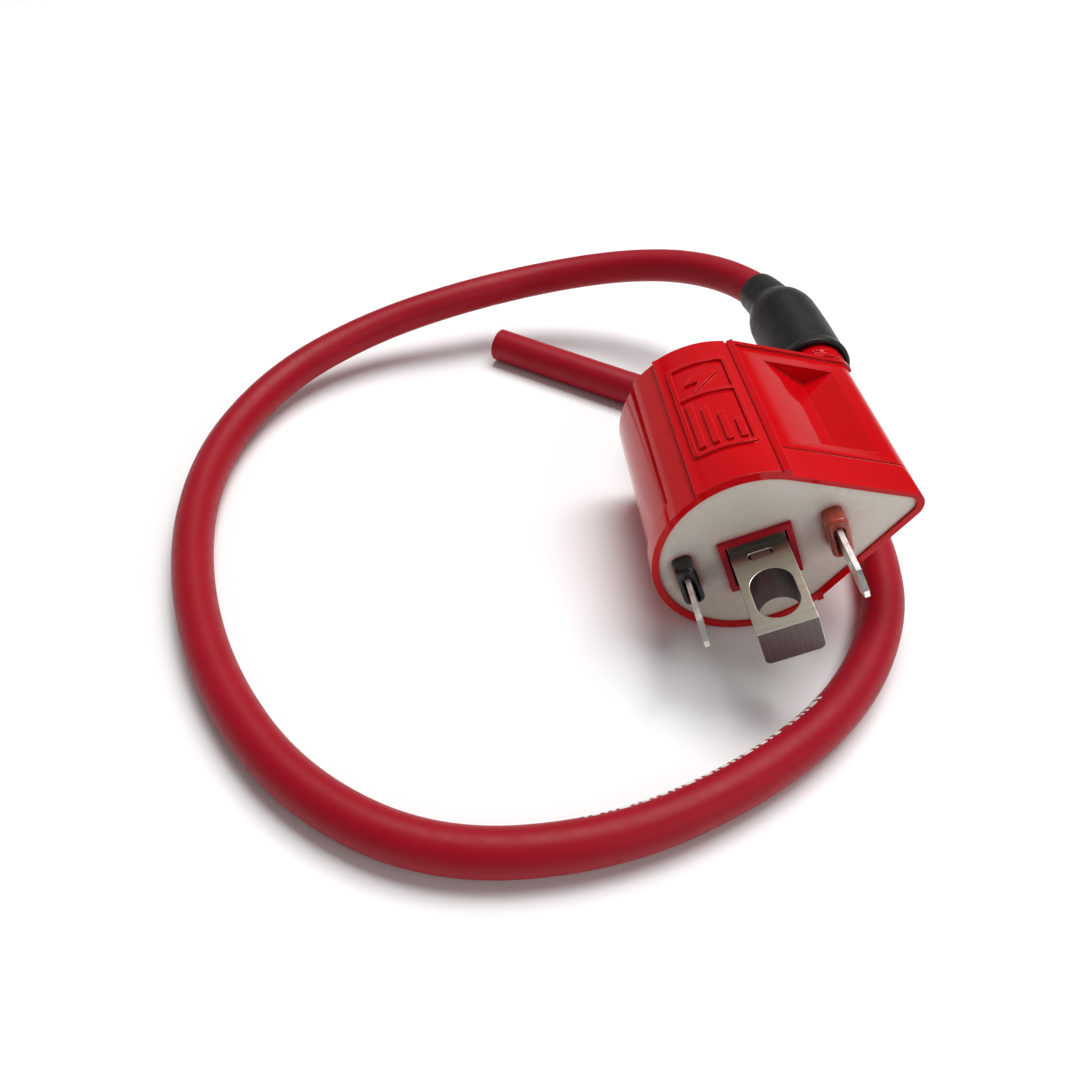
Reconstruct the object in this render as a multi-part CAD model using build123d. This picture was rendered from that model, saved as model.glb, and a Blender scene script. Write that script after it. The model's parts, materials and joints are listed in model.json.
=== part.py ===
from build123d import *
import os
from math import asin, cos, degrees, pi, radians, sin, tan

# Ignition coil with its high-tension lead, in millimetres.
# Every piece of the coil is drawn level, in the coil's own frame: X to the tower side, Y from the
# open potted face to the back, Z up, and the origin where the core's axis meets the open face.
# place() then rolls it onto its round belly, as it lies on a bench, and moves it so that the row's
# origin is under the middle of the coil, on the bench. The lead is drawn straight in the row's frame.

# Housing
BODY_RADIUS = 16.4
BODY_CENTRE_X = -0.8
TIP_RADIUS = 3.0
TIP_X = 23.1
BODY_LENGTH = 37.0
WALL = 1.2
BACK_WALL = 1.4
POTTING_DEPTH = 0.4
PAD_RISE = 0.35
SHOULDER_X = -6.4
RIDGE_X = 7.4
RIDGE_WIDTH = 1.1
RIDGE_RISE = 0.7

# Core and its window
CORE_WIDTH = 9.2
CORE_BOTTOM = -5.05
EAR_TOP = 2.0
CORE_TOP = 3.45
EAR_REACH = 17.4
EAR_CORNER = 1.1
SLOT_WIDTH = 6.7
SLOT_LENGTH = 10.0
SLOT_FROM_FACE = 10.4
TUBE_WIDTH = 11.8
TUBE_BOTTOM = -6.25
TUBE_TOP = 4.55
TUBE_WALL = 1.0
TUBE_PROUD = 0.35

# Windings, both centred on the bobbin tube
WINDING_Z = (TUBE_TOP + TUBE_BOTTOM) / 2
PRIMARY_FRONT = 5.2
PRIMARY_BACK = 31.3
FLANGE_THICK = 1.4
PRIMARY_SIZE = (15.0, 14.0)
PRIMARY_CORNER = 2.5
PRIMARY_FLANGE_RISE = 0.6
TAPE_THICK = 0.25
FORMER_INNER = 10.3
FORMER_OUTER = 11.2
SECONDARY_RADIUS = 12.8
SECONDARY_FLANGE = 13.5
SECTIONS = 5
SECTION_FIRST = 6.6
SECTION_PITCH = 5.0
SECTION_WALL = 0.9

# Terminals
PRIMARY_TAB_X = 12.2
GROUND_TAB_X = -11.8
TAB_Z = 0.5
TAB_WIDTH = 4.8
TAB_THICK = 0.8
TAB_REACH = 14.8
TAB_TAPER = 2.8
TAB_TIP = 1.3
TAB_NECK = 2.8
TAB_HOLE = (8.7, 0.8)
TAB_SHOULDER = (1.0, 0.4)
TAB_ROOT = 4.4
SLEEVE_SIZE = (3.4, 8.0)
SLEEVE_MOUTH = (1.9, 6.2)
SLEEVE_CORNERS = (1.2, 0.9)
SLEEVE_MOUTH_DROP = 0.5
SLEEVE_FLOOR = 0.6
SLEEVE_LIP_ROUND = 0.5
SLEEVE_REACH = 3.0
SLEEVE_ROOT = 2.3

# High-tension tower and its fittings
TOWER_X = 20.75
TOWER_RADIUS = 5.3
TOWER_FOOT_RADIUS = 5.6
TOWER_RING_RADIUS = 5.6
TOWER_RING = (49.5, 51.0)
TOWER_FOOT_START = 3.9
TOWER_FOOT_RISE = 2.8
TOWER_FOOT_END = 39.7
TOWER_END = 54.0
TOWER_WEB = 46.0
TOWER_BORE = 3.65
INSERT_RADIUS = 2.4
INSERT_FLANGE_RADIUS = 2.9
INSERT_FRONT = 34.1
INSERT_FLANGE_BACK = 35.3
SCREW_RADIUS = 1.2
SPIKE_RADIUS = 0.9
SPIKE_START = 46.6
SPIKE_END = 53.0
SPIKE_POINT = 1.6

# Lead and boot
LEAD_DIAMETER = 7.0
CONDUCTOR_DIAMETER = 2.2
BOOT_MOUTH = 39.8
BOOT_END = 72.0
BOOT_LIP_RADIUS = 6.83
BOOT_LIP_LENGTH = 1.1
BOOT_RADIUS = 6.65
BOOT_BACK_RADIUS = 6.55
BOOT_SHOULDER = 61.5
BOOT_SHOULDER_LENGTH = 3.0
BOOT_SHOULDER_ROUND = 2.6
BOOT_INNER_RADIUS = 5.7
COLLAR_RADIUS = 4.4
BOOT_CLEARANCE = 0.05

# How the coil lies: rolled about its core's axis, with its belly on the bench
ROLL = 21.5
AXIS_HEIGHT = BODY_RADIUS - BODY_CENTRE_X * sin(radians(ROLL))
LEFT_SIDE = BODY_CENTRE_X * cos(radians(ROLL)) - BODY_RADIUS
RIGHT_SIDE = TOWER_X * cos(radians(ROLL)) + BOOT_LIP_RADIUS
MIDDLE_X = (LEFT_SIDE + RIGHT_SIDE) / 2
MIDDLE_Y = (BOOT_END - EAR_REACH) / 2
TOWER_AXIS = (
    TOWER_X * cos(radians(ROLL)) - MIDDLE_X,
    AXIS_HEIGHT + TOWER_X * sin(radians(ROLL)),
)

# The lead's route, chosen by hand: out of the tower, down to the bench, once round in a wide loop,
# under the tower side of the coil and out behind it
LEAD_ROUTE = [
    (TOWER_AXIS[0], 19.7, TOWER_AXIS[1]),
    (TOWER_AXIS[0], 30.0, TOWER_AXIS[1]),
    (12.8, 46.9, 23.8),
    (3.1, 60.8, 21.6),
    (-10.7, 69.5, 17.9),
    (-29.3, 72.0, 14.0),
    (-50.2, 66.4, 12.0),
    (-69.2, 60.5, 8.4),
    (-85.9, 48.0, 5.6),
    (-96.4, 28.8, 3.9),
    (-99.4, 7.0, 3.5),
    (-96.3, -16.2, 3.5),
    (-88.9, -37.3, 3.5),
    (-75.9, -56.6, 3.5),
    (-56.9, -68.4, 3.5),
    (-33.7, -68.5, 3.5),
    (-12.8, -60.8, 3.5),
    (5.9, -48.3, 3.5),
    (18.5, -30.8, 3.5),
    (22.8, -13.3, 3.5),
    (22.2, 0.7, 3.5),
    (17.6, 14.1, 3.5),
    (9.1, 25.1, 3.5),
    (-3.7, 34.0, 3.5),
    (-22.5, 47.6, 3.5),
    (-39.9, 60.6, 3.5),
]


def place(shape):
    """Roll a level piece onto the belly and move it over the row's origin."""
    return Pos(-MIDDLE_X, -MIDDLE_Y, AXIS_HEIGHT) * Rot(0, -ROLL, 0) * shape


def prism(section, front, back):
    """Extrude an X-Z section along the coil, from front to back."""
    return extrude(Plane.XZ.offset(-back) * section, amount=back - front)


def teardrop(inset):
    """The housing's section: a large circle and a small tip circle in one taut outline."""
    body = Pos(BODY_CENTRE_X, 0) * Circle(BODY_RADIUS - inset)
    tip = Pos(TIP_X, 0) * Circle(TIP_RADIUS - inset)
    return make_hull([*body.edges(), *tip.edges()])


def tube_section(inset):
    """The bobbin tube's outline, or its bore when inset by the wall."""
    height = TUBE_TOP - TUBE_BOTTOM
    return Pos(0, WINDING_Z) * Rectangle(TUBE_WIDTH - 2 * inset, height - 2 * inset)


def winding_section(grow):
    """The primary winding's outline, grown by the tape's thickness."""
    return Pos(0, WINDING_Z) * RectangleRounded(
        PRIMARY_SIZE[0] + 2 * grow, PRIMARY_SIZE[1] + 2 * grow, PRIMARY_CORNER + grow
    )


# Housing

PANEL_TILT = degrees(asin((BODY_RADIUS - TIP_RADIUS) / (TIP_X - BODY_CENTRE_X)))
PANEL_START = (
    BODY_CENTRE_X + BODY_RADIUS * sin(radians(PANEL_TILT)),
    BODY_RADIUS * cos(radians(PANEL_TILT)),
)
PANEL_RUN = 24.0
PANEL_LINE_Y = 6.3
PANEL_LINE_SIZE = (0.45, 0.22)
PANEL_LINE_GAP = 0.2
FRONT_BAND_DROP = 0.45
BACK_RIM_WIDTH = 0.8
BACK_RIM_RISE = 0.55
POCKET_FRONT = 9.1
POCKET_BACK = 32.75
POCKET_OUTLINE = [(10.5, 12.9), (17.0, 4.0), (26.5, 4.0), (26.5, 12.9)]
POCKET_RAMP = (12.6, 8.0)
RIDGE_HEIGHT = 3.0
GROOVE_SIZE = (0.4, 0.35)
BEAD_WIDTH = 0.9
BEAD_RISE = 0.3
FACET = [(SHOULDER_X, 15.85), (-11.6, 12.0), (-14.0, 20.0), (SHOULDER_X, 20.0)]
RECESS_DEPTH = 0.6
RECESS_FRONT = 3.8
RECESS_WINDOW = [(-10.8, 13.0), (-9.2, -14.0), (-30, -14.0), (-30, 13.0)]
LABEL_SIZE = (10.2, 24.0)
LABEL_CENTRE = (0.3, 19.2)
LABEL_BORDER = 0.65
LABEL_RISE = 0.45
LABEL_CORNERS = (1.0, 0.6)
LABEL_DIVIDER_Y = 2.8
LABEL_BOLT_Y = 7.0
LABEL_DIVIDER_WIDTH = 0.5
BOLT = [(1.7, 3.7), (-3.0, -0.8), (-0.5, -0.8), (-1.7, -3.7), (3.0, 0.8), (0.5, 0.8)]
BAR_WIDTH = 1.0
BAR_FRONT = -10.3
BARS = [(-3.3, 11.4), (-1.1, 9.2), (1.1, 7.0), (3.3, 4.8)]


def panel_plane():
    """Along the coil and out of the upper tower-side panel, looking down the panel's slope."""
    tilt = radians(PANEL_TILT)
    start = (PANEL_START[0], 0, PANEL_START[1])
    return Plane(origin=start, x_dir=(0, 1, 0), z_dir=(cos(tilt), 0, -sin(tilt)))


def down_panel(outline, from_ridge):
    """Run a profile, drawn along the coil and out of the panel, down the panel's slope."""
    profile = Polygon(*outline, align=None)
    return extrude(panel_plane().offset(from_ridge) * profile, amount=PANEL_RUN)


def upper_pad():
    """The slightly raised top between the shoulder and the ridge."""
    disc = Pos(BODY_CENTRE_X, 0) * Circle(BODY_RADIUS + PAD_RISE)
    width = RIDGE_X - SHOULDER_X
    band = Pos((RIDGE_X + SHOULDER_X) / 2, BODY_RADIUS) * Rectangle(width, BODY_RADIUS)
    return prism(disc & band, 0, BODY_LENGTH)


def top_of_body(x, rise):
    """The height of the round body at x, and so much more."""
    return (BODY_RADIUS**2 - (x - BODY_CENTRE_X) ** 2) ** 0.5 + rise


def ridges():
    """The moulded rib along the top, and its twin underneath."""
    top = top_of_body(RIDGE_X, RIDGE_RISE)
    rib = Pos(RIDGE_X, top - RIDGE_HEIGHT / 2) * Rectangle(RIDGE_WIDTH, RIDGE_HEIGHT)
    upper = prism(rib, 0, BODY_LENGTH)
    return upper + mirror(upper, about=Plane.XY)


def shoulder_bead():
    """The low bead along the pad's other edge."""
    top = top_of_body(SHOULDER_X, PAD_RISE + BEAD_RISE)
    bead = Pos(SHOULDER_X + BEAD_WIDTH / 2, top - RIDGE_HEIGHT / 2) * Rectangle(BEAD_WIDTH, RIDGE_HEIGHT)
    return prism(bead, 0, BODY_LENGTH)


def ridge_groove():
    """The fine groove between the pad and the rib."""
    width, depth = GROOVE_SIZE
    x = RIDGE_X - RIDGE_WIDTH / 2 - width / 2
    top = top_of_body(x, PAD_RISE - depth)
    groove = Pos(x, top + 1) * Rectangle(width, 2)
    return prism(groove, -1, BODY_LENGTH + 1)


def side_facet():
    """A flat planed along the housing, outside the shoulder."""
    return prism(Polygon(*FACET, align=None), -1, BODY_LENGTH + 1)


def side_recess():
    """The shallow recess round the plain side, behind the front lip."""
    outer = Pos(BODY_CENTRE_X, 0) * Circle(BODY_RADIUS + 1)
    inner = Pos(BODY_CENTRE_X, 0) * Circle(BODY_RADIUS - RECESS_DEPTH)
    window = Polygon(*RECESS_WINDOW, align=None)
    return prism((outer - inner) & window, RECESS_FRONT, BODY_LENGTH + 1)


def front_band():
    """What is planed off the panel in front of its line, so that it slopes to the open face."""
    drop = FRONT_BAND_DROP
    return down_panel([(-1, -drop), (0, -drop), (PANEL_LINE_Y, 0), (PANEL_LINE_Y, 1), (-1, 1)], -1)


def panel_line():
    """The fine groove across the panel, in front of the pocket."""
    width, depth = PANEL_LINE_SIZE
    front = PANEL_LINE_Y + PANEL_LINE_GAP
    back = front + width
    return down_panel([(front, -depth), (back, -depth), (back, 1), (front, 1)], -1)


def back_rim():
    """The low rim along the panel's back edge, from the ridge round the tip."""
    side = Polygon((RIDGE_X, 0), (30, 0), (30, 20), (RIDGE_X, 20), align=None)
    return prism(teardrop(-BACK_RIM_RISE) & side, BODY_LENGTH - BACK_RIM_WIDTH, BODY_LENGTH)


def pocket(grow):
    """The pocket in the upper tower-side panel: a slanted wall, a level floor and a ramp in front."""
    outline = Polygon(*POCKET_OUTLINE, align=None)
    if grow:
        outline = offset(outline, amount=grow, kind=Kind.INTERSECTION)
        return prism(outline, POCKET_FRONT - grow, POCKET_BACK + grow)
    length, depth = POCKET_RAMP
    ramp = [(POCKET_FRONT, 0), (POCKET_FRONT, -depth), (POCKET_FRONT + length, -depth)]
    return prism(outline, POCKET_FRONT, POCKET_BACK) - down_panel(ramp, -1)


def label_sketch():
    """A plain border, a bolt and a few bars, as raised on the top."""
    width, length = LABEL_SIZE
    outer, inner = LABEL_CORNERS
    plate = RectangleRounded(width, length, outer)
    hollow = RectangleRounded(width - 2 * LABEL_BORDER, length - 2 * LABEL_BORDER, inner)
    bolt = Pos(0, LABEL_BOLT_Y) * Polygon(*BOLT, align=None)
    bars = [Pos(x, BAR_FRONT + run / 2) * Rectangle(BAR_WIDTH, run) for x, run in BARS]
    divider = Pos(0, LABEL_DIVIDER_Y) * Rectangle(width - 2 * LABEL_BORDER, LABEL_DIVIDER_WIDTH)
    return Sketch() + [plate - hollow, bolt, divider, *bars]


def label():
    """The raised label, following the curve of the top."""
    prints = extrude(Pos(*LABEL_CENTRE, BODY_RADIUS - 1.5) * label_sketch(), amount=5)
    skin = Pos(BODY_CENTRE_X, 0) * Circle(BODY_RADIUS + PAD_RISE + LABEL_RISE)
    return prints & prism(skin, 0, BODY_LENGTH)


def tower():
    """The tower that takes the lead, with a spreading foot and a retaining ring."""
    spot = Pos(TOWER_X, 0)
    stem = prism(spot * Circle(TOWER_RADIUS), BODY_LENGTH, TOWER_END)
    ring = prism(spot * Circle(TOWER_RING_RADIUS), *TOWER_RING)
    start = BODY_LENGTH - BACK_WALL
    foot = Polygon(
        (0, start),
        (TOWER_FOOT_START, start),
        (TOWER_FOOT_RADIUS, start + TOWER_FOOT_RISE),
        (TOWER_FOOT_RADIUS, TOWER_FOOT_END),
        (0, TOWER_FOOT_END),
        align=None,
    )
    return stem + Pos(TOWER_X, 0, 0) * revolve(foot, Axis.Y) + ring


def housing_shell():
    """The moulded cup with its back wall and tower."""
    body = prism(teardrop(0), 0, BODY_LENGTH)
    body -= front_band()
    body -= panel_line()
    body += back_rim()
    body += upper_pad()
    body -= side_facet()
    body -= side_recess()
    body += ridges()
    body += shoulder_bead()
    body -= ridge_groove()
    body += label()
    cavity = prism(teardrop(WALL), -1, BODY_LENGTH - BACK_WALL)
    cavity -= pocket(WALL)
    body -= cavity
    body -= pocket(0)
    body += tower()
    body -= prism(tube_section(0), BODY_LENGTH - 5, BODY_LENGTH + 1)
    body -= prism(Pos(TOWER_X, 0) * Circle(INSERT_RADIUS), BODY_LENGTH - 5, TOWER_WEB)
    body -= prism(Pos(TOWER_X, 0) * Circle(TOWER_BORE), TOWER_WEB, TOWER_END + 1)
    return body


# Core

DIMPLE_SIZE = (4.0, 1.5)
DIMPLE_DEPTH = 0.8
DIMPLE_FROM_FACE = 2.0
TONGUE_SIZE = (3.0, 2.2)
TONGUE_DEPTH = 0.12


def core_long_laminations():
    """The full-length stack, with a slotted ear at each end."""
    middle = BODY_LENGTH / 2
    length = BODY_LENGTH + 2 * EAR_REACH
    height = EAR_TOP - CORE_BOTTOM
    stack = Pos(0, middle, CORE_BOTTOM + height / 2) * Box(CORE_WIDTH, length, height)
    stack = fillet(stack.edges().filter_by(Axis.Y).group_by(Axis.Z)[0], EAR_CORNER)
    slot = Rot(0, 0, 90) * SlotOverall(SLOT_LENGTH, SLOT_WIDTH)
    dimple = SlotOverall(*DIMPLE_SIZE) - Rectangle(*TONGUE_SIZE)
    tongue = SlotOverall(*DIMPLE_SIZE) & Rectangle(*TONGUE_SIZE)
    for side in (-1, 1):
        y = middle + side * (middle + SLOT_FROM_FACE)
        stack -= Pos(0, y, CORE_BOTTOM - 1) * extrude(slot, amount=height + 2)
        y = middle + side * (middle + DIMPLE_FROM_FACE)
        stack -= Pos(0, y, EAR_TOP - DIMPLE_DEPTH) * extrude(dimple, amount=1)
        stack -= Pos(0, y, EAR_TOP - TONGUE_DEPTH) * extrude(tongue, amount=1)
    return stack


def core_short_laminations():
    """The short sheets that fill the window above the long ones."""
    section = Pos(0, (EAR_TOP + CORE_TOP) / 2) * Rectangle(CORE_WIDTH, CORE_TOP - EAR_TOP)
    return prism(section, 0, BODY_LENGTH)


# Windings

NOTCH_SIZE = (1.6, 1.4)
NOTCH_X = 7.5
WIRE_DIAMETER = 0.8
WIRE_Y = 3.3
WIRE_Z = 0.8
SOLDER_LENGTH = 0.9
SOLDER_RADIUS = 0.85
FINE_WIRE_DIAMETER = 0.4
GROUND_TURN = (-14.3, 8.6, 3.4)
OUTPUT_TURN_Y = 29.0


def primary_bobbin():
    """The square tube that lines the window, with two flanges."""
    tube = prism(tube_section(0), -TUBE_PROUD, BODY_LENGTH)
    flange = winding_section(PRIMARY_FLANGE_RISE)
    tube += prism(flange, PRIMARY_FRONT - FLANGE_THICK, PRIMARY_FRONT)
    tube += prism(flange, PRIMARY_BACK, PRIMARY_BACK + FLANGE_THICK)
    tube -= prism(tube_section(TUBE_WALL), -1, BODY_LENGTH + 1)
    for side in (-1, 1):
        notch = Pos(side * NOTCH_X, WIRE_Z) * Rectangle(*NOTCH_SIZE)
        tube -= prism(notch, PRIMARY_FRONT - FLANGE_THICK, PRIMARY_FRONT)
    return tube


def primary_winding():
    """The thick wire, as one rounded block round the tube."""
    return prism(winding_section(0) - tube_section(0), PRIMARY_FRONT, PRIMARY_BACK)


def interlayer_tape():
    """The insulating tape round the primary winding."""
    return prism(winding_section(TAPE_THICK) - winding_section(0), PRIMARY_FRONT, PRIMARY_BACK)


def secondary_bobbin():
    """The round former with its chamber walls."""
    spot = Pos(0, WINDING_Z)
    end = SECTION_FIRST + SECTIONS * SECTION_PITCH
    former = prism(spot * Circle(FORMER_OUTER), SECTION_FIRST - SECTION_WALL, end)
    for wall in range(SECTIONS + 1):
        y = SECTION_FIRST + wall * SECTION_PITCH
        former += prism(spot * Circle(SECONDARY_FLANGE), y - SECTION_WALL, y)
    return former - prism(spot * Circle(FORMER_INNER), 0, BODY_LENGTH)


def secondary_winding():
    """The fine wire, one ring in each chamber."""
    ring = Pos(0, WINDING_Z) * Rot(0, 0, 90) * (Circle(SECONDARY_RADIUS) - Circle(FORMER_OUTER))
    rings = []
    for section in range(SECTIONS):
        y = SECTION_FIRST + section * SECTION_PITCH
        rings.append(prism(ring, y, y + SECTION_PITCH - SECTION_WALL))
    return Part() + rings


# Terminals

def terminal(x):
    """A flat push-on tab on edge, with a tapered tip, a locking hole and a narrow root."""
    half = TAB_WIDTH / 2
    root = TAB_NECK / 2
    tip = TAB_TIP / 2
    outside, inside = TAB_SHOULDER
    outline = Polygon(
        (-TAB_REACH, -tip),
        (-TAB_REACH + TAB_TAPER, -half),
        (-outside, -half),
        (inside, -root),
        (TAB_ROOT, -root),
        (TAB_ROOT, root),
        (inside, root),
        (-outside, half),
        (-TAB_REACH + TAB_TAPER, half),
        (-TAB_REACH, tip),
        align=None,
    )
    place_of_hole, hole = TAB_HOLE
    outline -= Pos(-place_of_hole, 0) * Circle(hole)
    blade = extrude(Plane.YZ * outline, amount=TAB_THICK / 2, both=True)
    return Pos(x, 0, TAB_Z) * blade


def terminal_sleeve(x):
    """The insulating sleeve that stands out of the potting round a tab, open at its mouth."""
    outer, inner = SLEEVE_CORNERS
    outline = Pos(x, TAB_Z) * RectangleRounded(*SLEEVE_SIZE, outer)
    mouth = Pos(x, TAB_Z - SLEEVE_MOUTH_DROP) * RectangleRounded(*SLEEVE_MOUTH, inner)
    sleeve = prism(outline, -SLEEVE_REACH, SLEEVE_ROOT)
    sleeve = fillet(sleeve.faces().sort_by(Axis.Y)[0].edges(), SLEEVE_LIP_ROUND)
    sleeve -= prism(mouth, -SLEEVE_REACH - 1, -SLEEVE_FLOOR)
    return sleeve - terminal(x)


def wire(points, diameter, bend):
    """A round wire along straight runs joined by small arcs."""
    path = FilletPolyline(*points, radius=bend)
    return sweep(Plane(path @ 0, z_dir=path % 0) * Circle(diameter / 2), path=path)


def primary_wire(side, tab_x):
    """The thick wire from the primary winding to a tab."""
    start = side * NOTCH_X
    face = tab_x - side * TAB_THICK / 2
    points = [
        (start, PRIMARY_FRONT, WIRE_Z),
        (start, WIRE_Y, WIRE_Z),
        (face, WIRE_Y, WIRE_Z),
    ]
    return wire(points, WIRE_DIAMETER, 1.0)


def secondary_ground_wire():
    """The fine wire from the first chamber to the ground tab."""
    face = GROUND_TAB_X - TAB_THICK / 2
    outside, first_section, near_face = GROUND_TURN
    points = [
        (-SECONDARY_RADIUS, first_section, WINDING_Z),
        (outside, first_section, WINDING_Z),
        (outside, near_face, WINDING_Z),
        (face, near_face, WINDING_Z),
    ]
    return wire(points, FINE_WIRE_DIAMETER, 0.5)


def secondary_output_wire():
    """The fine wire from the last chamber to the tower's insert."""
    points = [
        (SECONDARY_RADIUS, OUTPUT_TURN_Y, WINDING_Z),
        (TOWER_X, OUTPUT_TURN_Y, WINDING_Z),
        (TOWER_X, INSERT_FRONT, WINDING_Z),
    ]
    return wire(points, FINE_WIRE_DIAMETER, 0.8)


def solder_joints():
    """A cone of solder where each thick wire meets its tab."""
    cones = []
    for side, x in ((1, PRIMARY_TAB_X), (-1, GROUND_TAB_X)):
        face = x - side * TAB_THICK / 2
        cone = Cone(SOLDER_RADIUS, WIRE_DIAMETER / 2 + 0.1, SOLDER_LENGTH)
        cone -= Cylinder(WIRE_DIAMETER / 2, 2)
        cones.append(Pos(face - side * SOLDER_LENGTH / 2, WIRE_Y, WIRE_Z) * Rot(0, -90 * side, 0) * cone)
    return Part() + cones


# Tower fittings

def ht_insert():
    """The brass bush moulded into the tower, with its flange inside."""
    spot = Pos(TOWER_X, 0)
    bush = prism(spot * Circle(INSERT_RADIUS), INSERT_FRONT, TOWER_WEB)
    bush += prism(spot * Circle(INSERT_FLANGE_RADIUS), INSERT_FRONT, INSERT_FLANGE_BACK)
    return bush - prism(spot * Circle(SCREW_RADIUS), INSERT_FLANGE_BACK, TOWER_WEB + 1)


def ht_contact_screw():
    """The screw in the bush, whose spike runs into the lead's core."""
    spot = Pos(TOWER_X, 0)
    shank = prism(spot * Circle(SCREW_RADIUS), INSERT_FLANGE_BACK, SPIKE_START)
    spike = prism(spot * Circle(SPIKE_RADIUS), SPIKE_START, SPIKE_END - SPIKE_POINT)
    cone = Rot(-90, 0, 0) * Cone(SPIKE_RADIUS, 0.15, SPIKE_POINT)
    return shank + spike + Pos(TOWER_X, SPIKE_END - SPIKE_POINT / 2, 0) * cone


# Lead and boot

def corner_radii(points):
    """The largest fair arc at each corner: 0.45 of the shorter run over tan(half the turn)."""
    radii = []
    for before, corner, after in zip(points, points[1:], points[2:]):
        run_in = Vector(*corner) - Vector(*before)
        run_out = Vector(*after) - Vector(*corner)
        turn = radians(run_in.get_angle(run_out))
        radii.append(0.45 * min(run_in.length, run_out.length) / tan(turn / 2))
    return radii


def lead_path(points):
    """Straight runs joined by tangent arcs."""
    return FilletPolyline(*points, radius=corner_radii(points))


def along(path, radius):
    """A round bar along a path."""
    return sweep(Plane(path @ 0, z_dir=path % 0) * Circle(radius), path=path)


def lead_conductor(path):
    """The stranded core, from the tip of the spike to the cut end."""
    bar = along(path, CONDUCTOR_DIAMETER / 2)
    start = LEAD_ROUTE[0][1]
    drilled = SPIKE_END - MIDDLE_Y + 0.2 - start
    clear = Pos(TOWER_AXIS[0], start + drilled / 2, TOWER_AXIS[1]) * Box(4, drilled, 4)
    return bar - clear


def boot_body():
    """The boot's straight part, turned about the tower's axis, with its mouth and shoulder."""
    back = BOOT_SHOULDER + BOOT_SHOULDER_LENGTH
    outline = Polygon(
        (0, BOOT_MOUTH),
        (BOOT_LIP_RADIUS, BOOT_MOUTH),
        (BOOT_LIP_RADIUS, BOOT_MOUTH + BOOT_LIP_LENGTH),
        (BOOT_RADIUS, BOOT_MOUTH + BOOT_LIP_LENGTH + 0.4),
        (BOOT_BACK_RADIUS, BOOT_SHOULDER),
        (COLLAR_RADIUS, back),
        (0, back),
        align=None,
    )
    body = revolve(outline, Axis.Y)
    rims = body.edges().filter_by(GeomType.CIRCLE)
    shoulder = rims.filter_by(lambda e: abs(e.radius - BOOT_BACK_RADIUS) < 0.01)
    body = fillet(shoulder, BOOT_SHOULDER_ROUND)
    depth = TOWER_END - BOOT_MOUTH + 0.4
    room = Pos(0, (BOOT_MOUTH + TOWER_END) / 2, 0) * Rot(90, 0, 0) * Cylinder(BOOT_INNER_RADIUS, depth)
    return Pos(TOWER_AXIS[0], -MIDDLE_Y, TOWER_AXIS[1]) * (body - room)


def tower_boot():
    """The rubber boot over the tower, with a collar that follows the lead."""
    near = lead_path(LEAD_ROUTE[:5])
    start = BOOT_SHOULDER + 1.5 - MIDDLE_Y
    end = BOOT_END - MIDDLE_Y
    span = Pos(TOWER_AXIS[0] - 3, (start + end) / 2, TOWER_AXIS[1]) * Box(40, end - start, 30)
    collar = along(near, COLLAR_RADIUS) & span
    return boot_body() + collar - along(near, LEAD_DIAMETER / 2 + BOOT_CLEARANCE)


def report_lead(path, jacket):
    """Print the lead's length, its corner radii and a check on its volume."""
    length = path.length
    bore = CONDUCTOR_DIAMETER / 2
    expected = pi * ((LEAD_DIAMETER / 2) ** 2 - bore**2) * length
    print("lead length", round(length, 1))
    print("lead radii", [round(r, 1) for r in corner_radii(LEAD_ROUTE)])
    print("lead volume / section x length", round(jacket.volume / expected, 4))


def main():
    os.makedirs("parts", exist_ok=True)
    coil = {
        "housing_shell": housing_shell(),
        "core_long_laminations": core_long_laminations(),
        "core_short_laminations": core_short_laminations(),
        "primary_bobbin": primary_bobbin(),
        "primary_winding": primary_winding(),
        "interlayer_tape": interlayer_tape(),
        "secondary_bobbin": secondary_bobbin(),
        "secondary_winding": secondary_winding(),
        "primary_terminal": terminal(PRIMARY_TAB_X),
        "primary_terminal_sleeve": terminal_sleeve(PRIMARY_TAB_X),
        "ground_terminal": terminal(GROUND_TAB_X),
        "ground_terminal_sleeve": terminal_sleeve(GROUND_TAB_X),
        "primary_feed_wire": primary_wire(1, PRIMARY_TAB_X),
        "primary_ground_wire": primary_wire(-1, GROUND_TAB_X),
        "secondary_ground_wire": secondary_ground_wire(),
        "secondary_output_wire": secondary_output_wire(),
        "solder_joints": solder_joints(),
        "ht_insert": ht_insert(),
        "ht_contact_screw": ht_contact_screw(),
    }
    fill = prism(teardrop(WALL), POTTING_DEPTH, BODY_LENGTH - BACK_WALL)
    fill -= pocket(WALL)
    fill -= prism(tube_section(0), -1, BODY_LENGTH)
    for name, part in coil.items():
        if name != "housing_shell":
            fill -= part
    coil["potting_resin"] = fill
    for name, part in coil.items():
        export_step(place(part), f"parts/{name}.step")
    path = lead_path(LEAD_ROUTE)
    jacket = along(path, LEAD_DIAMETER / 2) - along(path, CONDUCTOR_DIAMETER / 2)
    export_step(jacket, "parts/lead_jacket.step")
    export_step(lead_conductor(path), "parts/lead_conductor.step")
    export_step(tower_boot(), "parts/tower_boot.step")
    report_lead(path, jacket)


main()
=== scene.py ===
"""An ignition coil and its high-tension lead, lying on a pale table."""

import json
import math

import bmesh
import bpy
from mathutils import Euler, Matrix, Vector


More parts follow.
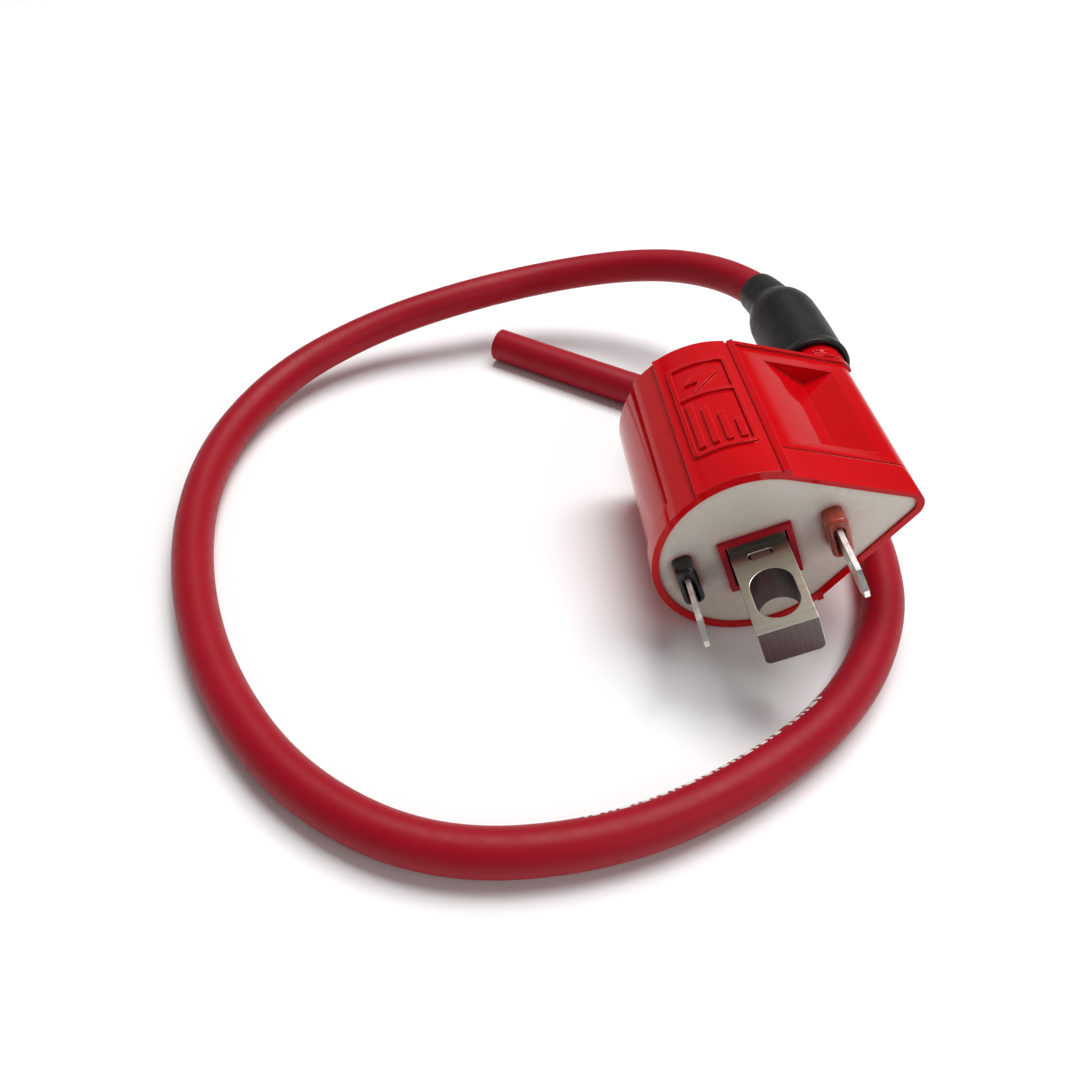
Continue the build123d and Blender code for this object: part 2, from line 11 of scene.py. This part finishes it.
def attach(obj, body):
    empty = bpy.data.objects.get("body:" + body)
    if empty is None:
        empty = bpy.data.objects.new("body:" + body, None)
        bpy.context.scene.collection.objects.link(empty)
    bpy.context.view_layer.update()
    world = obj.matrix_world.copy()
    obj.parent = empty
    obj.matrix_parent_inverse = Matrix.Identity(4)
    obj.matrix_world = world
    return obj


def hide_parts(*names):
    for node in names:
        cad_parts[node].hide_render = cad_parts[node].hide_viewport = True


MM = 0.001
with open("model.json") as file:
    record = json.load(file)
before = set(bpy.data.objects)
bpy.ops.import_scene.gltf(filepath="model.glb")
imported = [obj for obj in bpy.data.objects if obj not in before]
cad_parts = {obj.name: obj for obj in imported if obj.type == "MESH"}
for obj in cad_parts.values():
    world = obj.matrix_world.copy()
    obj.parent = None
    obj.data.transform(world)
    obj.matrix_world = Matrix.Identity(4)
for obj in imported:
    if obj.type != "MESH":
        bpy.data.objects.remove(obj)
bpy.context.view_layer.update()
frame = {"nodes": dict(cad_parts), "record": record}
nodes = frame["nodes"]
scene = bpy.context.scene

ROLL = math.radians(21.5)  # the coil lies rolled about its core's axis


# Camera

def make_camera():
    """A camera in front of the potted face, looking down on the coil and the whole loop."""
    data = bpy.data.cameras.new("camera")
    data.sensor_width = 36.0
    data.lens = 33.33
    data.clip_start = 0.01
    data.clip_end = 10.0
    camera = bpy.data.objects.new("camera", data)
    camera.location = (-0.05208, -0.13936, 0.12225)
    camera.rotation_euler = Euler([math.radians(a) for a in (48.292, -1.237, -5.394)])
    scene.collection.objects.link(camera)
    scene.camera = camera


# Lead

LEAD_RADIUS = 3.5 * MM
LEAD_ROUTE = [  # in metres, from the spike in the tower to the cut end
    (0.0148103, 0.0197, 0.0242981),
    (0.0148103, 0.0300, 0.0242981),
    (0.0128, 0.0469, 0.0238),
    (0.0031, 0.0608, 0.0216),
    (-0.0107, 0.0695, 0.0179),
    (-0.0293, 0.0720, 0.0140),
    (-0.0502, 0.0664, 0.0120),
    (-0.0692, 0.0605, 0.0084),
    (-0.0859, 0.0480, 0.0056),
    (-0.0964, 0.0288, 0.0039),
    (-0.0994, 0.0070, 0.0035),
    (-0.0963, -0.0162, 0.0035),
    (-0.0889, -0.0373, 0.0035),
    (-0.0759, -0.0566, 0.0035),
    (-0.0569, -0.0684, 0.0035),
    (-0.0337, -0.0685, 0.0035),
    (-0.0128, -0.0608, 0.0035),
    (0.0059, -0.0483, 0.0035),
    (0.0185, -0.0308, 0.0035),
    (0.0228, -0.0133, 0.0035),
    (0.0222, 0.0007, 0.0035),
    (0.0176, 0.0141, 0.0035),
    (0.0091, 0.0251, 0.0035),
    (-0.0037, 0.0340, 0.0035),
    (-0.0225, 0.0476, 0.0035),
    (-0.0399, 0.0606, 0.0035),
]


def route_curve(name, radius):
    """The lead's route as one smooth NURBS curve, round where radius is given."""
    data = bpy.data.curves.new(name, "CURVE")
    data.dimensions = "3D"
    data.resolution_u = 12
    data.bevel_depth = radius
    data.bevel_resolution = 8
    data.use_fill_caps = True
    spline = data.splines.new("NURBS")
    spline.points.add(len(LEAD_ROUTE) - 1)
    for point, place in zip(spline.points, LEAD_ROUTE):
        point.co = (*place, 1.0)
    spline.order_u = 3
    spline.use_endpoint_u = True
    spline.use_smooth = True
    piece = bpy.data.objects.new(name, data)
    scene.collection.objects.link(piece)
    return piece


def route_points():
    """Points along the smooth route, read from the curve itself."""
    bare = route_curve("bare_route", 0.0)
    mesh = bpy.data.meshes.new_from_object(bare)
    points = [v.co.copy() for v in mesh.vertices]
    bpy.data.meshes.remove(mesh)
    bpy.data.objects.remove(bare)
    return points


def running_lengths(line):
    """How far along a line each of its points is."""
    lengths = [0.0]
    for a, b in zip(line, line[1:]):
        lengths.append(lengths[-1] + (b - a).length)
    return lengths


def find_on(line, lengths, at):
    """The point before a distance along a line, and the place at that distance."""
    index = max(i for i, total in enumerate(lengths[:-1]) if total <= at)
    share = (at - lengths[index]) / (lengths[index + 1] - lengths[index])
    return index, line[index].lerp(line[index + 1], share)


make_camera()
lead = route_curve("lead_jacket_silicone", LEAD_RADIUS)
lead_line = route_points()


# Materials

class Finish:
    """A material whose colour, roughness and bump are built from nodes, in the object's frame."""

    def __init__(self, name, metallic=0.0):
        self.material = bpy.data.materials.new(name)
        self.material.use_nodes = True
        self.tree = self.material.node_tree
        self.shader = self.tree.nodes["Principled BSDF"]
        self.place = self.add("ShaderNodeTexCoord").outputs["Object"]
        self.set("Metallic", metallic)

    def add(self, kind, **settings):
        made = self.tree.nodes.new(kind)
        for key, value in settings.items():
            setattr(made, key, value)
        return made

    def set(self, name, value):
        self.shader.inputs[name].default_value = value

    def link(self, out, target):
        self.tree.links.new(out, target)

    def turned(self, stretch=(1, 1, 1)):
        """The coil's own level frame, stretched along its axes."""
        mapping = self.add("ShaderNodeMapping")
        mapping.inputs["Rotation"].default_value = (0, ROLL, 0)
        scale = self.add("ShaderNodeMapping")
        scale.inputs["Scale"].default_value = stretch
        self.link(self.place, mapping.inputs["Vector"])
        self.link(mapping.outputs["Vector"], scale.inputs["Vector"])
        return scale.outputs["Vector"]

    def noise(self, scale, detail=3.0, place=None, rough=0.5):
        """Noise with so many grains to the metre."""
        noise = self.add("ShaderNodeTexNoise")
        noise.inputs["Scale"].default_value = scale
        noise.inputs["Detail"].default_value = detail
        noise.inputs["Roughness"].default_value = rough
        self.link(place or self.place, noise.inputs["Vector"])
        return noise.outputs["Fac"]

    def spread(self, fac, low, high, start=0.3, end=0.7):
        """Map a pattern to a range of plain values."""
        ranged = self.add("ShaderNodeMapRange")
        ranged.inputs["From Min"].default_value = start
        ranged.inputs["From Max"].default_value = end
        ranged.inputs["To Min"].default_value = low
        ranged.inputs["To Max"].default_value = high
        self.link(fac, ranged.inputs["Value"])
        return ranged.outputs["Result"]

    def blend(self, fac, first, second):
        """Mix two colours, or a colour and a socket, by a pattern."""
        mix = self.add("ShaderNodeMix", data_type="RGBA")
        for socket, value in ((mix.inputs["A"], first), (mix.inputs["B"], second)):
            if isinstance(value, tuple):
                socket.default_value = (*value, 1.0)
            else:
                self.link(value, socket)
        self.link(fac, mix.inputs["Factor"])
        return mix.outputs["Result"]

    def colour(self, out):
        self.link(out, self.shader.inputs["Base Color"])

    def roughness(self, out):
        self.link(out, self.shader.inputs["Roughness"])

    def soft_edges(self, radius):
        """Round the shading of every edge by a radius in millimetres, and give where it does."""
        bevel = self.add("ShaderNodeBevel", samples=8)
        bevel.inputs["Radius"].default_value = radius * MM
        self.link(bevel.outputs["Normal"], self.shader.inputs["Normal"])
        agree = self.add("ShaderNodeVectorMath", operation="DOT_PRODUCT")
        self.link(bevel.outputs["Normal"], agree.inputs[0])
        self.link(self.add("ShaderNodeNewGeometry").outputs["Normal"], agree.inputs[1])
        return self.spread(agree.outputs["Value"], 1, 0, 0.88, 0.98)

    def bump(self, height, depth, strength=1.0):
        """A bump of that depth in metres, on top of any that is there."""
        bump = self.add("ShaderNodeBump")
        bump.inputs["Distance"].default_value = depth
        bump.inputs["Strength"].default_value = strength
        self.link(height, bump.inputs["Height"])
        normal = self.shader.inputs["Normal"]
        if normal.is_linked:
            self.link(normal.links[0].from_socket, bump.inputs["Normal"])
        self.link(bump.outputs["Normal"], normal)


def shell_red():
    """Glossy moulded red plastic, with flow marks, light scuffs and a painted highlight along its edges.
    """
    finish = Finish("shell_red")
    painted_edge_highlight = finish.spread(finish.soft_edges(0.14), 0, 0.35, 0, 1)
    flow = finish.noise(60, 2.0)
    red = finish.blend(finish.spread(flow, 0, 1), (0.54, 0.001, 0.004), (0.60, 0.002, 0.006))
    # Painted highlight: every edge is blended towards a lighter red.
    finish.colour(finish.blend(painted_edge_highlight, red, (0.80, 0.10, 0.10)))
    scuffs = finish.noise(900, 6.0, finish.turned((1, 0.15, 1)), 0.65)
    finish.roughness(finish.spread(scuffs, 0.04, 0.11))
    finish.bump(finish.noise(220, 2.0), 0.00002, 0.35)
    finish.set("Specular IOR Level", 0.22)
    return finish.material


def potting():
    """Cast off-white resin, slightly clear, with painted reddish shade where it meets the red walls."""
    finish = Finish("potting")
    cloud = finish.noise(45, 1.0)
    resin = finish.blend(finish.spread(cloud, 0, 1), (0.68, 0.63, 0.55), (0.70, 0.65, 0.58))
    # Painted shade: where ambient occlusion finds walls close by, the resin is darkened towards a
    # red-brown, standing in for shade and red light from the walls.
    corner = finish.add("ShaderNodeAmbientOcclusion", samples=12)
    corner.inputs["Distance"].default_value = 1.3 * MM
    open_sky = finish.spread(corner.outputs["AO"], 0, 1, 0.5, 0.95)
    finish.colour(finish.blend(open_sky, (0.50, 0.22, 0.19), resin))
    finish.roughness(finish.spread(finish.noise(500, 4.0), 0.20, 0.34))
    finish.bump(finish.noise(60, 1.0), 0.00008, 0.3)
    return finish.material


def core_steel():
    """Brushed sheet steel on the flats, sheared sheet edges on the sides, and a painted highlight along
    its edges.
    """
    finish = Finish("core_steel", 0.92)
    painted_edge_highlight = finish.soft_edges(0.20)
    brushed = finish.noise(2600, 3.0, finish.turned((0.03, 1, 1)), 0.6)
    flat = finish.blend(finish.spread(brushed, 0, 1), (0.42, 0.39, 0.31), (0.52, 0.49, 0.41))
    sheared = finish.noise(2600, 3.0, finish.turned((1, 1, 0.05)), 0.6)
    edge = finish.blend(finish.spread(sheared, 0, 1), (0.125, 0.108, 0.104), (0.165, 0.143, 0.138))
    face = finish.add("ShaderNodeNewGeometry").outputs["Normal"]
    upward = finish.add("ShaderNodeVectorMath", operation="DOT_PRODUCT")
    upward.inputs[1].default_value = (-math.sin(ROLL), 0, math.cos(ROLL))
    finish.link(face, upward.inputs[0])
    size = finish.add("ShaderNodeMath", operation="ABSOLUTE")
    finish.link(upward.outputs["Value"], size.inputs[0])
    is_flat = finish.spread(size.outputs["Value"], 0, 1, 0.55, 0.8)
    steel = finish.blend(is_flat, edge, flat)
    # Painted highlight: every edge is blended towards a pale bright steel.
    finish.colour(finish.blend(painted_edge_highlight, steel, (0.92, 0.90, 0.80)))
    finish.roughness(finish.spread(is_flat, 0.46, 0.30, 0, 1))
    finish.bump(brushed, 0.00001, 0.5)
    finish.bump(sheared, 0.00001, 0.5)
    return finish.material


def bobbin_red():
    """Darker red moulded nylon."""
    finish = Finish("bobbin_red")
    finish.soft_edges(0.10)
    tone = finish.noise(300, 3.0)
    finish.colour(finish.blend(finish.spread(tone, 0, 1), (0.38, 0.002, 0.011), (0.46, 0.005, 0.017)))
    finish.roughness(finish.spread(finish.noise(900, 3.0), 0.28, 0.44))
    finish.bump(finish.noise(700, 2.0), 0.00003, 0.4)
    finish.set("Specular IOR Level", 0.3)
    return finish.material


def tinned_brass():
    """Bright tin plate with fine draw marks."""
    finish = Finish("tinned_brass", 1.0)
    finish.soft_edges(0.08)
    drawn = finish.noise(2200, 4.0, finish.turned((1, 0.06, 1)), 0.7)
    finish.colour(finish.blend(finish.spread(drawn, 0, 1), (0.88, 0.86, 0.80), (0.98, 0.96, 0.92)))
    finish.roughness(finish.spread(finish.noise(700, 4.0), 0.24, 0.40))
    finish.bump(drawn, 0.00002, 0.5)
    return finish.material


def glossy_sleeve(name, dark, light, roughness):
    """Shrunk insulating sleeve, shiny and a little wavy."""
    finish = Finish(name)
    finish.soft_edges(0.25)
    tone = finish.noise(420, 3.0)
    finish.colour(finish.blend(finish.spread(tone, 0, 1), dark, light))
    finish.roughness(finish.spread(finish.noise(800, 3.0), roughness, roughness + 0.12))
    finish.bump(finish.noise(350, 2.0), 0.00005, 0.4)
    finish.set("Coat Weight", 0.2)
    finish.set("Coat Roughness", 0.05)
    return finish.material


def lead_red():
    """Crimson silicone, satin, with a faint bloom and drawn lines."""
    finish = Finish("lead_red")
    bloom = finish.noise(70, 4.0)
    finish.colour(finish.blend(finish.spread(bloom, 0, 1), (0.31, 0.0015, 0.011), (0.35, 0.003, 0.016)))
    finish.roughness(finish.spread(finish.noise(650, 5.0), 0.40, 0.52))
    finish.bump(finish.noise(1300, 3.0), 0.00002, 0.4)
    finish.set("Specular IOR Level", 0.2)
    return finish.material


def boot_black():
    """Charcoal rubber with a fine moulded grain."""
    finish = Finish("boot_black")
    dust = finish.noise(240, 5.0)
    finish.colour(finish.blend(finish.spread(dust, 0, 1), (0.007, 0.0065, 0.0065), (0.018, 0.017, 0.016)))
    finish.roughness(finish.spread(finish.noise(1100, 4.0), 0.36, 0.50))
    finish.bump(finish.noise(2400, 3.0), 0.00003, 0.5)
    finish.set("Specular IOR Level", 0.24)
    return finish.material


def grained(name, dark, light, roughness, metallic=0.0, grain=900):
    """A plain stuff with some grain, for the pieces inside."""
    finish = Finish(name, metallic)
    tone = finish.noise(grain, 4.0)
    finish.colour(finish.blend(finish.spread(tone, 0, 1), dark, light))
    finish.roughness(finish.spread(tone, roughness, roughness + 0.15))
    finish.bump(tone, 0.00003, 0.4)
    return finish.material


def table_white():
    """The pale table top."""
    finish = Finish("table_white")
    finish.set("Base Color", (0.96, 0.96, 0.96, 1.0))
    finish.roughness(finish.spread(finish.noise(40, 3.0), 0.62, 0.78))
    return finish.material


finishes = {
    "shell_red": shell_red(),
    "potting": potting(),
    "core_steel": core_steel(),
    "bobbin_red": bobbin_red(),
    "tinned_brass": tinned_brass(),
    "sleeve_black": glossy_sleeve("sleeve_black", (0.0015, 0.0015, 0.002), (0.004, 0.004, 0.0045), 0.08),
    "sleeve_red": glossy_sleeve("sleeve_red", (0.30, 0.032, 0.016), (0.39, 0.055, 0.028), 0.14),
    "lead_red": lead_red(),
    "boot_black": boot_black(),
    "copper_wire": grained("copper_wire", (0.55, 0.22, 0.10), (0.75, 0.36, 0.18), 0.3, 0.9),
    "amber_tape": grained("amber_tape", (0.60, 0.30, 0.06), (0.72, 0.42, 0.10), 0.2),
    "bobbin_white": grained("bobbin_white", (0.70, 0.68, 0.62), (0.80, 0.78, 0.72), 0.4),
    "solder": grained("solder", (0.50, 0.50, 0.51), (0.68, 0.68, 0.69), 0.25, 0.9),
    "brass": grained("brass", (0.62, 0.46, 0.18), (0.76, 0.58, 0.26), 0.25, 1.0),
}


# Pieces

WELD_GAP = 0.002 * MM
CREASE = math.radians(24)


def dress_cad_nodes():
    """Give each CAD node its finish, smooth on curves and crisp at edges."""
    for row in frame["record"]["subparts"]:
        piece = nodes[row["node"]]
        piece.data.materials.clear()
        piece.data.materials.append(finishes[row["material_slot"]])
        for face in piece.data.polygons:
            face.use_smooth = True
        piece.modifiers.new("weld", "WELD").merge_threshold = WELD_GAP
        piece.modifiers.new("crisp", "EDGE_SPLIT").split_angle = CREASE
        piece.modifiers.new("even", "WEIGHTED_NORMAL").keep_sharp = True


def value_at(points, at):
    """A value read along (place, value) points, straight from one to the next."""
    for (x0, y0), (x1, y1) in zip(points, points[1:]):
        if at <= x1:
            share = max(0.0, (at - x0) / (x1 - x0))
            return y0 + (y1 - y0) * share
    return points[-1][1]


# The boot's radii, in millimetres, by the distance from its mouth
BOOT_MOUTH = 12.5 * MM
BOOT_RISE = 32.2
BOOT_OUTSIDE = [
    (0.0, 6.6), (0.2, 6.8), (0.8, 6.85), (1.3, 6.75), (2.0, 6.62), (18.0, 6.62), (19.5, 6.5),
    (21.0, 6.2), (22.2, 5.8), (23.4, 5.2), (24.4, 4.75), (25.2, 4.55), (27.0, 4.45), (31.0, 4.15),
    (32.0, 4.0), (BOOT_RISE, 3.8),
]
BOOT_INSIDE = [
    (0.0, 6.0), (0.5, 5.85), (1.0, 5.75), (14.2, 5.7), (15.5, 4.2), (17.0, 3.52), (BOOT_RISE, 3.52),
]
BOOT_RINGS = 150
BOOT_AROUND = 72
TOWER_STEPS = 14


def boot_line():
    """The boot's own centre line: up the tower, then along the lead."""
    x, start, z = LEAD_ROUTE[0]
    rise = (start - BOOT_MOUTH) / TOWER_STEPS
    straight = [Vector((x, BOOT_MOUTH + i * rise, z)) for i in range(TOWER_STEPS)]
    return straight + lead_line


def ring_frames(line, steps, reach):
    """Evenly spaced places along a line, each with two directions across it."""
    lengths = running_lengths(line)
    frames = []
    side = Vector((1, 0, 0))
    for step in range(steps + 1):
        at = reach * step / steps
        index, place = find_on(line, lengths, at)
        along = (line[min(index + 2, len(line) - 1)] - line[max(index - 1, 0)]).normalized()
        side = (side - along * side.dot(along)).normalized()
        frames.append((at, place, side.copy(), along.cross(side)))
    return frames


def make_boot():
    """The rubber boot: a lipped cup over the tower that narrows to a collar on the lead."""
    frames = ring_frames(boot_line(), BOOT_RINGS, BOOT_RISE * MM)
    outside = [(f, value_at(BOOT_OUTSIDE, f[0] / MM)) for f in frames]
    inside = [(f, value_at(BOOT_INSIDE, f[0] / MM)) for f in reversed(frames)]
    shape = bmesh.new()
    loops = []
    for (_, place, side, up), radius in outside + inside:
        loop = []
        for i in range(BOOT_AROUND):
            turn = 2 * math.pi * i / BOOT_AROUND
            offset = (side * math.cos(turn) + up * math.sin(turn)) * radius * MM
            loop.append(shape.verts.new(place + offset))
        loops.append(loop)
    for first, second in zip(loops, loops[1:] + loops[:1]):
        for i in range(BOOT_AROUND):
            j = (i + 1) % BOOT_AROUND
            shape.faces.new((first[i], first[j], second[j], second[i]))
    return finished(shape, "tower_boot_rubber", "boot_black")


def finished(shape, name, slot):
    """Turn a bmesh into a smooth piece of the object."""
    bmesh.ops.recalc_face_normals(shape, faces=shape.faces)
    mesh = bpy.data.meshes.new(name)
    shape.to_mesh(mesh)
    shape.free()
    for face in mesh.polygons:
        face.use_smooth = True
    piece = bpy.data.objects.new(name, mesh)
    scene.collection.objects.link(piece)
    mesh.materials.append(finishes[slot])
    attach(piece, "root")
    return piece


# The core's strands at the cut end, in millimetres; they stand a little proud of the jacket
STRAND_RADIUS = 0.21
STRAND_PITCH = 0.44
STRAND_LENGTH = 3.0
STRAND_SINK = 1.3
STRAND_RINGS = ((1, 6), (2, 12))


def make_lead_core():
    """The stranded core, seen at the lead's cut end."""
    end = lead_line[-1]
    along = (lead_line[-1] - lead_line[-2]).normalized()
    turn = along.to_track_quat("Z", "Y").to_matrix().to_4x4()
    shape = bmesh.new()
    places = [(0.0, 0.0)]
    for ring, count in STRAND_RINGS:
        for i in range(count):
            angle = 2 * math.pi * i / count
            out = STRAND_PITCH * ring
            places.append((out * math.cos(angle), out * math.sin(angle)))
    for x, y in places:
        shift = Matrix.Translation((x * MM, y * MM, -STRAND_SINK * MM))
        bmesh.ops.create_cone(
            shape, cap_ends=True, segments=14, radius1=STRAND_RADIUS * MM,
            radius2=STRAND_RADIUS * MM, depth=STRAND_LENGTH * MM,
            matrix=Matrix.Translation(end) @ turn @ shift,
        )
    return finished(shape, "lead_core_strands", "copper_wire")


# The lead's print, in millimetres along it and in degrees up from the loop's inner side
PRINT_START = 296.0
PRINT_WORDS = [(0.0, 34.0), (35.8, 45.0)]
PRINT_BARS = [0.55, 1.2, 0.55, 0.55, 1.7, 0.55, 1.2]
PRINT_GAP = 0.6
PRINT_BAND = (12.0, 49.0)
PRINT_LAYERS = (-0.05, 0.025)
PRINT_STEP = 0.5
PRINT_AROUND = 8


def print_bars():
    """Where each printed bar starts and ends along the lead, in millimetres."""
    bars = []
    for first, last in PRINT_WORDS:
        at, turn = first, 0
        while at + PRINT_BARS[turn] <= last:
            bars.append((PRINT_START + at, PRINT_START + at + PRINT_BARS[turn]))
            at += PRINT_BARS[turn] + PRINT_GAP
            turn = (turn + 1) % len(PRINT_BARS)
    return bars


def place_on_lead(lengths, at, angle, radius):
    """A place round the lead: from its inner side at 0 towards its top."""
    index, middle = find_on(lead_line, lengths, at)
    along = (lead_line[index + 1] - lead_line[index]).normalized()
    inward = Vector((0, 0, 1)).cross(along).normalized()
    up = along.cross(inward)
    return middle + (inward * math.cos(angle) + up * math.sin(angle)) * radius


def outline_of(rows):
    """The corners round the edge of a grid of corners, in order."""
    right = [row[-1] for row in rows[1:]]
    left = [row[0] for row in reversed(rows[1:-1])]
    return rows[0] + right + rows[-1][-2::-1] + left


def make_lead_print():
    """Plain bars printed on the lead, on the inner side of the loop."""
    lengths = running_lengths(lead_line)
    low, high = (math.radians(a) for a in PRINT_BAND)
    angles = [low + (high - low) * j / PRINT_AROUND for j in range(PRINT_AROUND + 1)]
    shape = bmesh.new()
    for start, end in print_bars():
        steps = max(1, round((end - start) / PRINT_STEP))
        layers = []
        for lift in PRINT_LAYERS:
            radius = LEAD_RADIUS + lift * MM
            rows = []
            for i in range(steps + 1):
                at = (start + (end - start) * i / steps) * MM
                rows.append([shape.verts.new(place_on_lead(lengths, at, a, radius)) for a in angles])
            for row, next_row in zip(rows, rows[1:]):
                for j in range(PRINT_AROUND):
                    shape.faces.new((row[j], row[j + 1], next_row[j + 1], next_row[j]))
            layers.append(rows)
        inner, outer = (outline_of(rows) for rows in layers)
        for i in range(len(inner)):
            j = (i + 1) % len(inner)
            shape.faces.new((inner[i], inner[j], outer[j], outer[i]))
    return finished(shape, "lead_print_bars", "bobbin_white")


dress_cad_nodes()
boot = make_boot()
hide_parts("tower_boot")
core = make_lead_core()
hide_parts("lead_conductor")
bars = make_lead_print()
lead.data.materials.append(finishes["lead_red"])
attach(lead, "root")
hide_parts("lead_jacket")


# Table and light

def make_table():
    """A plain pale table under the object."""
    shape = bmesh.new()
    bmesh.ops.create_grid(shape, x_segments=2, y_segments=2, size=3.0)
    mesh = bpy.data.meshes.new("table")
    shape.to_mesh(mesh)
    shape.free()
    mesh.materials.append(table_white())
    table = bpy.data.objects.new("table", mesh)
    scene.collection.objects.link(table)


def soft_light(name, place, target, size, power):
    """A rectangular soft box aimed at a point."""
    data = bpy.data.lights.new(name, "AREA")
    data.shape = "RECTANGLE"
    data.size, data.size_y = size
    data.energy = power
    light = bpy.data.objects.new(name, data)
    light.location = place
    aim = Vector(target) - Vector(place)
    light.rotation_euler = aim.to_track_quat("-Z", "Y").to_euler()
    scene.collection.objects.link(light)


# The room's light by height: 0 at the horizon and 1 straight up
ROOM = [(0.0, 0.45), (0.22, 0.45), (0.32, 0.06), (0.38, 0.06), (0.50, 0.28), (1.0, 0.12)]


def make_room():
    """A pale room with a dark band above the horizon and a dim ceiling."""
    world = bpy.data.worlds.new("room")
    world.use_nodes = True
    tree = world.node_tree
    place = tree.nodes.new("ShaderNodeTexCoord")
    split = tree.nodes.new("ShaderNodeSeparateXYZ")
    ramp = tree.nodes.new("ShaderNodeValToRGB")
    marks = ramp.color_ramp.elements
    for mark, (_, light) in zip(marks, (ROOM[0], ROOM[-1])):
        mark.color = (light, light, light, 1.0)
    for height, light in ROOM[1:-1]:
        marks.new(height).color = (light, light, light, 1.0)
    tree.links.new(place.outputs["Generated"], split.inputs["Vector"])
    tree.links.new(split.outputs["Z"], ramp.inputs["Fac"])
    tree.links.new(ramp.outputs["Color"], tree.nodes["Background"].inputs["Color"])
    scene.world = world


def make_light():
    """A large soft box high above the coil, and a faint one in front on the tower side."""
    scene.view_settings.view_transform = "Standard"
    soft_light("overhead", (0.30, 0.45, 1.40), (0, 0, 0), (1.2, 0.9), 24.0)
    soft_light("front", (0.50, -0.60, 0.45), (0, 0, 0.02), (0.5, 0.5), 1.4)


make_table()
make_room()
make_light()
